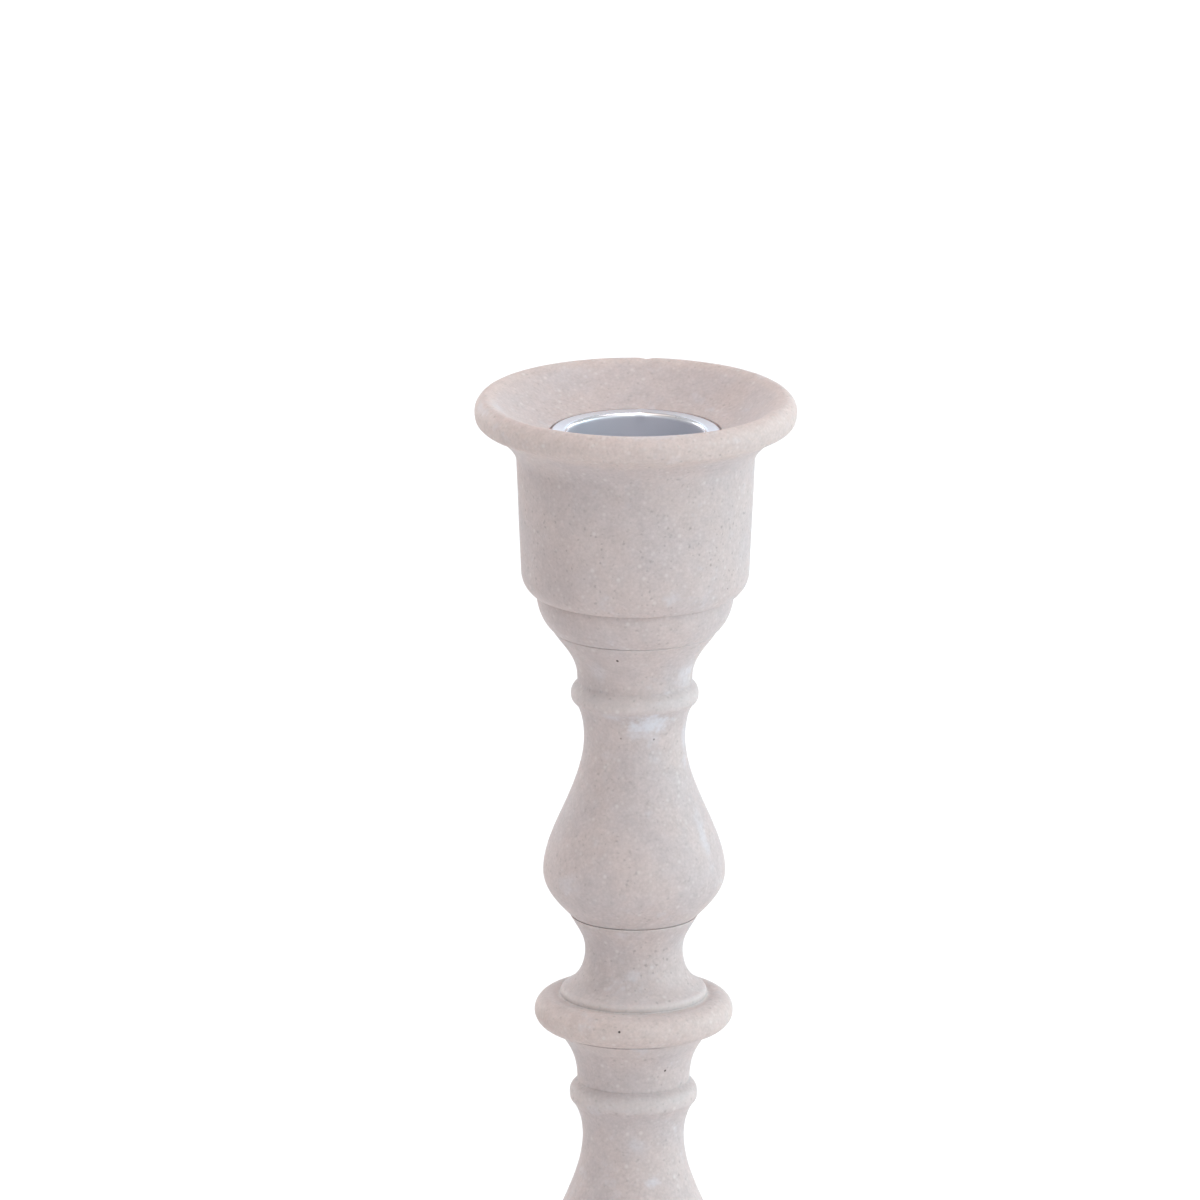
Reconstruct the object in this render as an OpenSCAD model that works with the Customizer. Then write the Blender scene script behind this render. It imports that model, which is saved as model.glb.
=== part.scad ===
// Turned candlestick: stone sections stacked on a threaded rod, with a loose metal candle insert.
// Millimetres. The origin is the centre of the felt pad's underside, and +Z is up.

/* [Candle] */
// Diameter of the candle that the insert takes
candle_d = 22; // [20:0.5:23]
// Play on the diameter between the candle and the insert
candle_play = 0.6; // [0.2:0.1:1]

/* [Candle insert] */
// Thickness of the insert's sheet metal
sheet_t = 0.5; // [0.4:0.1:0.6]
// Height of the insert
insert_h = 18.5; // [14:0.5:18.5]
// Width of the insert's flange, outside its wall
flange_w = 2.2; // [1.5:0.1:2.6]

/* [Candle cup] */
// Height of the cup, from its joint to the crest of the lip
cup_h = 33.05; // [33:0.05:38]
// Radius of the lip at its widest
lip_r = 26.65; // [26:0.05:30]
// Radius of the lip's crest
crest_r = 24.85; // [23:0.05:25]
// Radius of the cup under the lip
cup_top_r = 19.7; // [19.2:0.05:21]
// Radius of the cup at the bottom of its straight side
cup_side_r = 18.9; // [18:0.05:19.1]
// Radius of the cup's lower edge
cup_edge_r = 17.15; // [16.6:0.05:17.5]
// Depth of the insert's flange below the crest
flange_drop = 5.85; // [5:0.05:6.5]
// Thickness of the cup's floor
floor_t = 3.2; // [2.5:0.1:3.2]

/* [Cup seat] */
// Height of the seat
seat_h = 6.55; // [5:0.05:10]
// Radius of the seat at its top
seat_top_r = 16.4; // [15.5:0.05:16.5]
// Radius of the seat's lower edge
seat_edge_r = 13.65; // [13.6:0.05:14.5]

/* [Balusters] */
// Height of the upper baluster
upper_baluster_h = 49.05; // [49:0.05:54]
// Height of the lower baluster
lower_baluster_h = 49.3; // [49:0.05:54]
// Radius of the upper baluster at its top
upper_top_r = 13.6; // [13:0.05:13.6]
// Radius of the lower baluster at its top
lower_top_r = 12.4; // [12:0.05:13.6]
// Height of the bead above the baluster's foot
bead_z = 38.05; // [36:0.05:38.5]
// Radius of the bead
bead_r = 10.6; // [10.3:0.05:11.5]
// Height of the neck above the baluster's foot
neck_z = 30.5; // [28:0.05:31]
// Radius of the neck
neck_r = 8.4; // [7.5:0.05:9]
// Height of the vase's belly above the baluster's foot
belly_z = 7.6; // [6:0.05:12]
// Radius of the vase's belly
belly_r = 15.1; // [13:0.05:17]
// Radius of the vase's lower edge
vase_edge_r = 10.35; // [10:0.05:11]

/* [Spools] */
// Height of each spool
spool_h = 14.55; // [14:0.05:18]
// Radius of the spool at its top
spool_top_r = 10.6; // [10:0.05:11]
// Radius of the spool's waist
waist_r = 8.1; // [7:0.05:9]
// Radius of the spool's foot
spool_foot_r = 12.15; // [11.5:0.05:12.4]

/* [Knop] */
// Radius of the knop
knop_r = 16.45; // [16:0.05:20]
// Thickness of the knop's round edge
knop_t = 5.5; // [5:0.1:6]
// Depth of the spool's seat below the top of the round edge
knop_sink = 0.75; // [0.5:0.05:0.8]

/* [Foot] */
// Height of the foot, from its underside to the spool's seat
foot_h = 26.7; // [25:0.1:40]
// Radius of the foot
foot_r = 39; // [37:0.5:45]
// Thickness of the foot's round edge
plinth_t = 7.4; // [6:0.1:8]
// Thickness of the felt pad
felt_t = 1.5; // [1:0.1:3]
// Radius of the felt pad
felt_r = 35.5; // [30:0.5:35.5]

/* [Rod, nuts and washers] */
// Diameter of the threaded rod
rod_d = 6; // [5:0.5:6]
// Play on the diameter between the rod and the stone
rod_play = 0.6; // [0.4:0.1:1]
// Width of the nuts across their flats
nut_w = 10; // [8:0.5:10]
// Height of the thin nut in the cup
top_nut_h = 3.2; // [2.5:0.1:3.2]
// Height of the nut under the foot
base_nut_h = 5; // [4:0.1:5.2]
// Diameter of the washers
washer_d = 12; // [11:0.5:12.5]
// Thickness of the washers
washer_t = 1.6; // [1:0.1:1.6]

/* [Hidden] */

$fn = 96;
curve_steps = 12;          // straight pieces in each curved stretch of an outline
cut = 1;                   // how far a cutting shape runs past the face it opens

stone_colour = [0.75, 0.71, 0.69];
metal_colour = [0.80, 0.82, 0.85];
steel_colour = [0.60, 0.61, 0.62];
felt_colour = [0.30, 0.29, 0.28];

// Insert and the hollow that it drops into
insert_r = (candle_d + candle_play) / 2;     // inside of the wall
insert_out_r = insert_r + sheet_t;
flange_r = insert_out_r + flange_w;
mouth_bend = 0.7;                            // visible radius between the wall and the flange
floor_bend = 0.8;                            // inside radius at the bottom of the insert
wall_gap = 0.3;                              // insert's wall to the cup's bore
flange_gap = 0.35;                           // flange's edge to its recess
flange_play = 0.05;                          // flange's underside to its seat

// Rod and what it carries
rod_r = rod_d / 2;
rod_hole_r = (rod_d + rod_play) / 2;
rod_end = 0.4;                               // how far the rod stands out of each nut
rod_chamfer = 0.5;
thread_play = 0.05;                          // rod to nut, on the radius
washer_hole_r = rod_r + 0.2;
nut_chamfer = 0.6;
pocket_r = 10;                               // nut pocket under the foot
pocket_h = 9;

// Rounds and fillets
knop_round = knop_t / 2;
spool_round = 1.15;
upper_fillet = 0.15;
lower_fillet = 1.65;

// Heights of the joints, from the table up
foot_z = felt_t;
lower_spool_z = foot_z + foot_h;
lower_baluster_z = lower_spool_z + spool_h;
knop_z = lower_baluster_z + lower_baluster_h;
upper_spool_z = knop_z + knop_t - knop_sink;
upper_baluster_z = upper_spool_z + spool_h;
cup_seat_z = upper_baluster_z + upper_baluster_h;
cup_z = cup_seat_z + seat_h;
flange_z = cup_z + cup_h - flange_drop;      // top of the insert's flange
insert_z = flange_z - insert_h;
top_washer_z = cup_z + floor_t;
top_nut_z = top_washer_z + washer_t;
base_washer_z = foot_z + pocket_h - washer_t;
base_nut_z = base_washer_z - base_nut_h;

// A vector of the given length at an angle from the radius, upwards
function toward(angle, length) = length * [cos(angle), sin(angle)];

// Points along a cubic curve from a to d. The first point is left out, because the stretch before ends there.
function curve(a, b, c, d) =
    [for (i = [1:curve_steps]) let (t = i / curve_steps, s = 1 - t)
        s * s * s * a + 3 * s * s * t * b + 3 * s * t * t * c + t * t * t * d];

// Points along a circle's arc, without the first
function arc(centre, r, from, to) =
    [for (i = [1:curve_steps]) centre + toward(from + (to - from) * i / curve_steps, r)];

// A solid of revolution from an outline that runs down its outside, bored for the rod
module turned(outline, height) {
    difference() {
        rotate_extrude() polygon(concat(outline, [[0, 0], [0, height]]));
        translate([0, 0, -cut]) cylinder(r = rod_hole_r, h = height + 2 * cut);
    }
}

// Rolled lip, cove under it, tapered side and rounded lower edge
function cup_outline() =
    let (crest = [crest_r, cup_h],
        widest = [lip_r, cup_h - 2.25],
        lip_edge = [crest_r, cup_h - 4.75],
        side_top = [cup_top_r, cup_h - 10.75],
        side_bottom = [cup_side_r, 3.6],
        edge = [cup_edge_r, 0],
        roll = lip_r - crest_r)
    concat([crest],
        curve(crest, crest + [0.42 * roll, 0], widest + [0, 0.95], widest),
        curve(widest, widest - [0, 1.75], lip_edge + [0.7 * roll, 0], lip_edge),
        curve(lip_edge, lip_edge - [2.35, 1.6], side_top + [0, 2.2], side_top),
        [side_bottom],
        curve(side_bottom, side_bottom - [0.05, 1.65], edge + [1, 0.85], edge));

// Dished top inside the lip, down to the flange's recess, from the axis outwards
function dish_outline() =
    let (crest = [crest_r, cup_h],
        rim = [flange_r + flange_gap, cup_h - flange_drop],
        seat = [flange_r + flange_gap, cup_h - flange_drop - sheet_t - flange_play])
    concat([[0, cup_h + cut], [crest_r, cup_h + cut], crest],
        curve(crest, crest - [2.2, 0.15], rim + [4.2, 0.9], rim),
        [seat, [0, seat[1]]]);

module candle_cup() {
    color(stone_colour) translate([0, 0, cup_z]) difference() {
        turned(cup_outline(), cup_h);
        rotate_extrude() polygon(dish_outline());
        translate([0, 0, floor_t]) cylinder(r = insert_out_r + wall_gap, h = cup_h);
    }
}

// Bent sheet: floor, wall, flange with a rounded edge, and back along the inside
module candle_insert() {
    edge_r = sheet_t / 2;
    back_bend = mouth_bend - sheet_t;
    under = insert_h - sheet_t;
    outline = concat([[0, 0], [insert_out_r - floor_bend - sheet_t, 0]],
        arc([insert_out_r - floor_bend - sheet_t, floor_bend + sheet_t], floor_bend + sheet_t, -90, 0),
        [[insert_out_r, under - back_bend]],
        arc([insert_out_r + back_bend, under - back_bend], back_bend, 180, 90),
        [[flange_r - edge_r, under]],
        arc([flange_r - edge_r, under + edge_r], edge_r, -90, 90),
        [[insert_r + mouth_bend, insert_h]],
        arc([insert_r + mouth_bend, insert_h - mouth_bend], mouth_bend, 90, 180),
        [[insert_r, floor_bend + sheet_t]],
        arc([insert_r - floor_bend, floor_bend + sheet_t], floor_bend, 0, -90),
        [[0, sheet_t]]);
    color(metal_colour) translate([0, 0, insert_z]) rotate_extrude() polygon(outline);
}

// Quarter round that carries the cup
module cup_seat() {
    top = [seat_top_r, seat_h];
    edge = [seat_edge_r, 0];
    outline = concat([top], curve(top, top - [0.05, 2.75], edge + [1.55, 1.35], edge));
    color(stone_colour) translate([0, 0, cup_seat_z]) turned(outline, seat_h);
}

// Fillet, cove, bead, neck and vase. The cove and the bead's underside differ a little between the two.
function baluster_outline(height, top_r, fillet, leave, cove, bead_under_r) =
    let (top = [top_r, height - fillet],
        bead = [bead_r, bead_z],
        bead_top = [cove[0] + 0.05, bead_z + 1.9],
        bead_foot = [bead_under_r, bead_z - 1.85],
        neck = [neck_r, neck_z],
        belly = [belly_r, belly_z],
        edge = [vase_edge_r, 0])
    concat([[top_r, height], top],
        curve(top, top - toward(leave, 2.65), cove + [0, 3.4], cove),
        curve(bead_top, bead_top + [0.3, -0.35], bead + [0, 1.05], bead),
        curve(bead, bead - [0, 1.15], bead_foot + toward(49, 0.85), bead_foot),
        curve(bead_foot, bead_foot - toward(49, 0.85), neck + [0, 2.95], neck),
        curve(neck, neck - [0, 8.5], belly + [0, 6.8], belly),
        curve(belly, belly - [0, 3.35], edge + toward(44.5, 2.3), edge));

module upper_baluster() {
    outline = baluster_outline(upper_baluster_h, upper_top_r, upper_fillet, 56.5, [9.55, 40.95], 9.65);
    color(stone_colour) translate([0, 0, upper_baluster_z]) turned(outline, upper_baluster_h);
}

module lower_baluster() {
    outline = baluster_outline(lower_baluster_h, lower_top_r, lower_fillet, 48, [9.2, 40.3], 10);
    color(stone_colour) translate([0, 0, lower_baluster_z]) turned(outline, lower_baluster_h);
}

// Waisted spool with a round-edged foot
module spool() {
    top = [spool_top_r, spool_h];
    waist = [waist_r, 8.4];
    round_centre = [spool_foot_r - spool_round, spool_round];
    flare = round_centre + toward(60, spool_round);
    outline = concat([top],
        curve(top, top - toward(61, 2.6), waist + [0, 2.5], waist),
        curve(waist, waist - [0, 3.3], flare + toward(154, 2.05), flare),
        arc(round_centre, spool_round, 60, -90));
    turned(outline, spool_h);
}

module upper_spool() {
    color(stone_colour) translate([0, 0, upper_spool_z]) spool();
}

module lower_spool() {
    color(stone_colour) translate([0, 0, lower_spool_z]) spool();
}

// Round edge that stands a little above the seat inside it, with the seat at the given height
function torus_edge(outer_r, seat) =
    let (centre = [outer_r - knop_round, seat + knop_sink - knop_round],
        from = 180 - asin((seat - centre[1]) / knop_round))
    concat([centre + toward(from, knop_round)], arc(centre, knop_round, from, -90));

module knop() {
    seat = knop_t - knop_sink;
    color(stone_colour) translate([0, 0, knop_z]) turned(torus_edge(knop_r, seat), seat);
}

// Collar, ogee and round-edged plinth, with a pocket for the nut
module foot() {
    collar_foot = foot_h + knop_sink - knop_t;
    neck = [12.9, collar_foot - 1.2];
    swell = [foot_r - 14.5, plinth_t + 4.4];
    shoulder = [foot_r - 5.2, plinth_t + 0.8];
    step = [foot_r - 4, plinth_t];
    widest = [foot_r, plinth_t * 0.55];
    sole = [foot_r - 2, 0];
    outline = concat(torus_edge(knop_r, foot_h),
        [[neck[0], collar_foot], neck],
        curve(neck, neck - [0, 6.2], swell + [-5.2, 1], swell),
        curve(swell, swell + [5.2, -1], shoulder + [0, 2.6], shoulder),
        [[shoulder[0], plinth_t], step],
        curve(step, step + [2.2, 0], widest + [0, 1.8], widest),
        curve(widest, widest - [0, 2.2], sole + [0.9, 0.6], sole));
    color(stone_colour) translate([0, 0, foot_z]) difference() {
        turned(outline, foot_h);
        translate([0, 0, -cut]) cylinder(r = pocket_r, h = pocket_h + cut);
    }
}

module tie_rod() {
    low = base_nut_z - rod_end;
    height = top_nut_z + top_nut_h + rod_end - low;
    r = rod_r - thread_play;
    color(steel_colour) translate([0, 0, low]) {
        cylinder(r1 = r - rod_chamfer, r2 = r, h = rod_chamfer);
        translate([0, 0, rod_chamfer]) cylinder(r = r, h = height - 2 * rod_chamfer);
        translate([0, 0, height - rod_chamfer]) cylinder(r1 = r, r2 = r - rod_chamfer, h = rod_chamfer);
    }
}

module washer() {
    difference() {
        cylinder(d = washer_d, h = washer_t);
        translate([0, 0, -cut]) cylinder(r = washer_hole_r, h = washer_t + 2 * cut);
    }
}

module top_washer() {
    color(steel_colour) translate([0, 0, top_washer_z]) washer();
}

module base_washer() {
    color(steel_colour) translate([0, 0, base_washer_z]) washer();
}

// Hexagonal nut with chamfered corners
module nut(height) {
    corner_r = nut_w / 2 / cos(30);
    slope = nut_chamfer / 2;
    difference() {
        intersection() {
            cylinder(r = corner_r, h = height, $fn = 6);
            rotate_extrude() polygon([[0, 0], [corner_r - nut_chamfer, 0], [corner_r, slope],
                [corner_r, height - slope], [corner_r - nut_chamfer, height], [0, height]]);
        }
        translate([0, 0, -cut]) cylinder(r = rod_r, h = height + 2 * cut);
    }
}

module top_nut() {
    color(steel_colour) translate([0, 0, top_nut_z]) nut(top_nut_h);
}

module base_nut() {
    color(steel_colour) translate([0, 0, base_nut_z]) nut(base_nut_h);
}

module felt_pad() {
    color(felt_colour) cylinder(r = felt_r, h = felt_t);
}

candle_insert();
candle_cup();
cup_seat();
upper_baluster();
upper_spool();
knop();
lower_baluster();
lower_spool();
foot();
tie_rod();
top_washer();
top_nut();
base_washer();
base_nut();
felt_pad();
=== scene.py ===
"""Looks of a turned cast-stone candlestick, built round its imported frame. Metres, with +Z up."""

import logging
import math
from abc import ABC, abstractmethod
from dataclasses import dataclass, field
from enum import Enum
from typing import Any

import bpy
import numpy as np
from mathutils import Matrix, Vector, noise


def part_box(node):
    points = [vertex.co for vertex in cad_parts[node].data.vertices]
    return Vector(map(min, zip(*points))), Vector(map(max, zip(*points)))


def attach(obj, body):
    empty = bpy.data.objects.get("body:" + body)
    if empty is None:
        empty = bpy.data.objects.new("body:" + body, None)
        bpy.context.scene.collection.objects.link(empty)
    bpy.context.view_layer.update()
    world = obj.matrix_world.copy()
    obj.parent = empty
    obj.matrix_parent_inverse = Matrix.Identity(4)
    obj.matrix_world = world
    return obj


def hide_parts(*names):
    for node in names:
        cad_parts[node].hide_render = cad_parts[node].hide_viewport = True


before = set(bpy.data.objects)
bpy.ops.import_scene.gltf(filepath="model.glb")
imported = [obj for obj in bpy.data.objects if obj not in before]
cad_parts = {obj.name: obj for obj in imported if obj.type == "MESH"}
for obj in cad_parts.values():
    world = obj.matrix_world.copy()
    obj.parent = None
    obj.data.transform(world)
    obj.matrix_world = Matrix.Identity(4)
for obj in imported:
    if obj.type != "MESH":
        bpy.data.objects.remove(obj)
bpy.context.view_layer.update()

log = logging.getLogger("candlestick")

MM = 0.001
Point = tuple[float, float]
Colour = tuple[float, float, float, float]
Triple = tuple[float, float, float]
Sockets = dict[str | int, Any]


class Body(Enum):
    """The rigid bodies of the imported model."""

    STAND = "candlestick"
    INSERT = "insert"


class Slot(Enum):
    """The record's material slots."""

    STONE = "stone"
    INSERT_METAL = "insert_metal"
    ZINC_STEEL = "zinc_steel"
    FELT = "felt"


# ---- outlines and turned meshes


class Outline:
    """A path of radius and height in millimetres, drawn stretch by stretch and then turned.

    Each point carries how much surface relief it takes: none on joint faces, all on the outside.
    """

    EDGE_STEPS = 4
    EDGE_RELIEF = 0.3

    def __init__(self, start: Point, pitch: float = 0.45) -> None:
        """Starts the path.

        Args:
            start: The first point.
            pitch: The spacing of points along curved and finely divided stretches.
        """
        self.points: list[Point] = [start]
        self.relief: list[float] = [0.0]
        self.slack: list[Point] = [(0.0, 0.0)]
        self.pitch = pitch

    def _append(self, point: Point, relief: float) -> None:
        """Adds one point.

        Args:
            point: Its radius and height.
            relief: How much relief it takes.
        """
        self.points.append(point)
        self.relief.append(relief)
        self.slack.append((0.0, 0.0))

    def line(self, *ends: Point) -> "Outline":
        """Goes straight to each end in turn, with no points between and no relief.

        Args:
            ends: The corners to pass through.

        Returns:
            This outline, so that stretches can be chained.
        """
        for end in ends:
            self._append(end, 0.0)
        return self

    def run(self, end: Point) -> "Outline":
        """Goes straight to an end in small steps that can take relief.

        Args:
            end: Where the stretch ends.

        Returns:
            This outline.
        """
        start = self.points[-1]
        steps = max(1, round(math.dist(start, end) / self.pitch))
        for i in range(1, steps + 1):
            share = i / steps
            offset = ((end[0] - start[0]) * share, (end[1] - start[1]) * share)
            self._append(shifted(start, offset), 1.0)
        return self

    def curve(self, leave: Point, arrive: Point, end: Point) -> "Outline":
        """Follows a cubic curve in small steps.

        Args:
            leave: The offset of the first handle from where the path now is.
            arrive: The offset of the second handle from the end.
            end: Where the stretch ends.

        Returns:
            This outline.
        """
        a = np.array(self.points[-1])
        d = np.array(end)
        b, c = a + leave, d + arrive
        length = np.linalg.norm(b - a) + np.linalg.norm(c - b) + np.linalg.norm(d - c)
        steps = max(4, round(0.9 * length / self.pitch))
        for i in range(1, steps + 1):
            t = i / steps
            s = 1 - t
            p = s**3 * a + 3 * s * s * t * b + 3 * s * t * t * c + t**3 * d
            self._append((float(p[0]), float(p[1])), 1.0)
        return self

    def arc(self, centre: Point, radius: float, start: float, end: float) -> "Outline":
        """Follows a circle's arc.

        Args:
            centre: The circle's centre.
            radius: The circle's radius.
            start: The angle that the arc starts at, in degrees from the outward radius.
            end: The angle that it ends at.

        Returns:
            This outline.
        """
        steps = max(5, round(math.radians(abs(end - start)) * radius / self.pitch))
        for i in range(1, steps + 1):
            self._append(shifted(centre, toward(start + (end - start) * i / steps, radius)), 1.0)
        return self

    def ease(self, corner: Point, radius: float) -> "Outline":
        """Rounds one corner of the path off, as a polished edge is.

        The slack of each new point leads back to the sharp corner, for where a joint is tight.

        Args:
            corner: The corner, which is a point of the path.
            radius: How far the rounding reaches along each side.

        Returns:
            This outline.
        """
        points = np.array(self.points)
        at = int(np.argmin(np.linalg.norm(points - corner, axis=1)))
        first, last = at, at
        while first > 0 and math.dist(points[first], corner) < radius:
            first -= 1
        while last < len(points) - 1 and math.dist(points[last], corner) < radius:
            last += 1
        start = points[at] + _clipped(points[first] - points[at], radius)
        end = points[at] + _clipped(points[last] - points[at], radius)
        rounded: list[Point] = []
        slack: list[Point] = []
        for i in range(self.EDGE_STEPS + 1):
            t = i / self.EDGE_STEPS
            p = (1 - t) ** 2 * start + 2 * t * (1 - t) * points[at] + t * t * end
            sharp = start + (points[at] - start) * min(1.0, 2 * t)
            sharp = sharp + (end - points[at]) * max(0.0, 2 * t - 1)
            rounded.append((float(p[0]), float(p[1])))
            slack.append((float(sharp[0] - p[0]), float(sharp[1] - p[1])))
        self.points[first + 1:last] = rounded
        self.relief[first + 1:last] = [self.EDGE_RELIEF] * len(rounded)
        self.slack[first + 1:last] = slack
        return self


def _clipped(offset: np.ndarray, length: float) -> np.ndarray:
    """An offset cut to at most a length."""
    size = float(np.linalg.norm(offset))
    return offset * min(1.0, length / max(size, 1e-9))


def toward(angle: float, length: float) -> Point:
    """An offset of a length at an angle in degrees from the outward radius."""
    return (length * math.cos(math.radians(angle)), length * math.sin(math.radians(angle)))


def shifted(point: Point, offset: Point) -> Point:
    """A point moved by an offset."""
    return (point[0] + offset[0], point[1] + offset[1])


def add_object(name: str, data: bpy.types.ID) -> bpy.types.Object:
    """Makes an object and puts it in the scene.

    Args:
        name: The object's name.
        data: Its mesh, light or camera.

    Returns:
        The object.
    """
    thing = bpy.data.objects.new(name, data)
    bpy.context.scene.collection.objects.link(thing)
    return thing


@dataclass(frozen=True)
class Dent:
    """A small hollow knocked into a turned surface, or a swelling where its depth is negative."""

    height: float
    azimuth: float
    reach: float
    depth: float

    def push(self, angles: np.ndarray, radii: np.ndarray, heights: np.ndarray) -> np.ndarray:
        """How far the dent moves each point inwards, in millimetres.

        Args:
            angles: The points' angles about the axis, in radians from +X.
            radii: Their radii in millimetres.
            heights: Their heights in millimetres above the piece's base.

        Returns:
            The inward moves.
        """
        centre = math.radians(self.azimuth - 90)
        turn = (angles - centre + math.pi) % (2 * math.pi) - math.pi
        away = np.hypot(turn * radii, heights - self.height)
        return self.depth * np.exp(-((away / self.reach) ** 2))


@dataclass(frozen=True)
class Relief:
    """The unevenness of a cast surface, smoothed by rubbing."""

    swell: float = 0.035
    swell_size: float = 7.0
    ripple: float = 0.012
    ripple_size: float = 1.8
    dents: tuple[Dent, ...] = ()

    def offsets(self, points: np.ndarray, radii: np.ndarray, heights: np.ndarray) -> np.ndarray:
        """How far each point stands out along its normal, in millimetres.

        Args:
            points: Positions in millimetres, in the row frame.
            radii: Their radii.
            heights: Their heights above the piece's base.

        Returns:
            The outward moves.
        """
        flat = points.reshape(-1, 3)
        slow = np.array([noise.noise(Vector(p / self.swell_size)) for p in flat])
        fast = np.array([noise.noise(Vector(p / self.ripple_size)) for p in flat])
        out = (self.swell * slow + self.ripple * fast).reshape(radii.shape)
        angles = np.arctan2(points[..., 1], points[..., 0])
        for dent in self.dents:
            out -= dent.push(angles, radii, heights)
        return out


def _spun(radii: np.ndarray, angles: np.ndarray, heights: np.ndarray) -> np.ndarray:
    """The positions of points given by radius, angle and height."""
    return np.stack([radii * np.cos(angles), radii * np.sin(angles), heights], axis=-1)


@dataclass(frozen=True)
class Lathe:
    """Turns outlines into closed meshes.

    Crease is the sharpest angle in degrees that still shades smooth. The last three say how an
    eased edge closes along a joint: how much that varies, how far on average, and at the most.
    """

    segments: int = 288
    crease: float = 38.0
    shutting: float = 1.3
    shut: float = 0.35
    tightest: float = 0.9

    def turn(self, name: str, outline: Outline, base: float, relief: Relief) -> bpy.types.Object:
        """Turns an outline once round the axis.

        Args:
            name: The new object's name.
            outline: A path that closes on itself, or that starts and ends on the axis.
            base: The height of the outline's zero in the row frame, in millimetres.
            relief: The surface's unevenness.

        Returns:
            The new object, in metres, with smooth shading between its creases.
        """
        path, slack = np.array(outline.points), np.array(outline.slack)
        on_axis = bool(path[0][0] < 1e-6)
        angles = np.linspace(0, 2 * math.pi, self.segments, endpoint=False)
        radii = np.repeat(path[:, :1], self.segments, axis=1)
        heights = np.repeat(path[:, 1:], self.segments, axis=1)
        for i in np.flatnonzero(np.abs(slack).sum(axis=1)):
            tight = self._tightness(angles, base + round(path[i, 1]))
            radii[i] += slack[i, 0] * tight
            heights[i] += slack[i, 1] * tight
        out = relief.offsets(_spun(radii, angles, heights + base), radii, heights)
        out *= np.array(outline.relief)[:, None]
        normal = self._normals(path, on_axis)
        radii = radii + out * normal[:, :1]
        heights = heights + out * normal[:, 1:]
        vertices, faces = self._weave(_spun(radii, angles, heights + base) * MM, on_axis)
        mesh = bpy.data.meshes.new(name)
        mesh.from_pydata(vertices, [], faces)
        mesh.polygons.foreach_set("use_smooth", np.ones(len(mesh.polygons), bool))
        mesh.set_sharp_from_angle(angle=math.radians(self.crease))
        mesh.validate()
        return add_object(name, mesh)

    def _tightness(self, angles: np.ndarray, height: float) -> np.ndarray:
        """How far an eased edge closes up along a joint, from 0, open, to nearly shut.

        Args:
            angles: Angles about the axis.
            height: The joint's height, which both of its edges share.

        Returns:
            One value per angle.
        """
        level = 3.7 * round(height)
        spots = [Vector((1.3 * math.cos(a), 1.3 * math.sin(a), level)) for a in angles]
        waver = np.array([noise.noise(spot) for spot in spots])
        return np.clip(self.shut + self.shutting * waver, 0.0, self.tightest)

    @staticmethod
    def _normals(path: np.ndarray, on_axis: bool) -> np.ndarray:
        """The outward normals of a path that keeps the solid on its right.

        Args:
            path: The outline's points.
            on_axis: True for a path from axis to axis, and False for a closed loop.

        Returns:
            One unit vector of radius and height per point.
        """
        if on_axis:
            along = np.gradient(path, axis=0)
        else:
            along = np.roll(path, -1, axis=0) - np.roll(path, 1, axis=0)
        normal = np.stack([-along[:, 1], along[:, 0]], axis=1)
        return normal / np.maximum(np.linalg.norm(normal, axis=1, keepdims=True), 1e-9)

    def _weave(self, grid: np.ndarray, on_axis: bool) -> tuple[list[Any], list[Any]]:
        """Joins rings of points into faces.

        Args:
            grid: Points by ring and segment.
            on_axis: True where the first and last rings are single points on the axis.

        Returns:
            The vertices and the faces.
        """
        n = self.segments
        rings = grid[1:-1] if on_axis else grid
        count = len(rings)
        vertices = [tuple(p) for p in rings.reshape(-1, 3)]
        faces: list[Any] = []
        for i in range(count - 1 if on_axis else count):
            low, high = i * n, (i + 1) % count * n
            for j in range(n):
                k = (j + 1) % n
                faces.append((low + j, high + j, high + k, low + k))
        if on_axis:
            first, last = len(vertices), len(vertices) + 1
            vertices += [(0.0, 0.0, float(grid[0, 0, 2])), (0.0, 0.0, float(grid[-1, 0, 2]))]
            end = (count - 1) * n
            for j in range(n):
                k = (j + 1) % n
                faces.append((first, j, k))
                faces.append((last, end + k, end + j))
        return vertices, faces


@dataclass(frozen=True)
class Span:
    """Where a CAD node lies: its base, height and largest radius, in millimetres."""

    base: float
    height: float
    radius: float

    @classmethod
    def of(cls, node: str) -> "Span":
        """Reads a node's span from the frame."""
        low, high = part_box(node)
        return cls(low.z / MM, (high.z - low.z) / MM, high.x / MM)


# ---- shader graph


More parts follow.
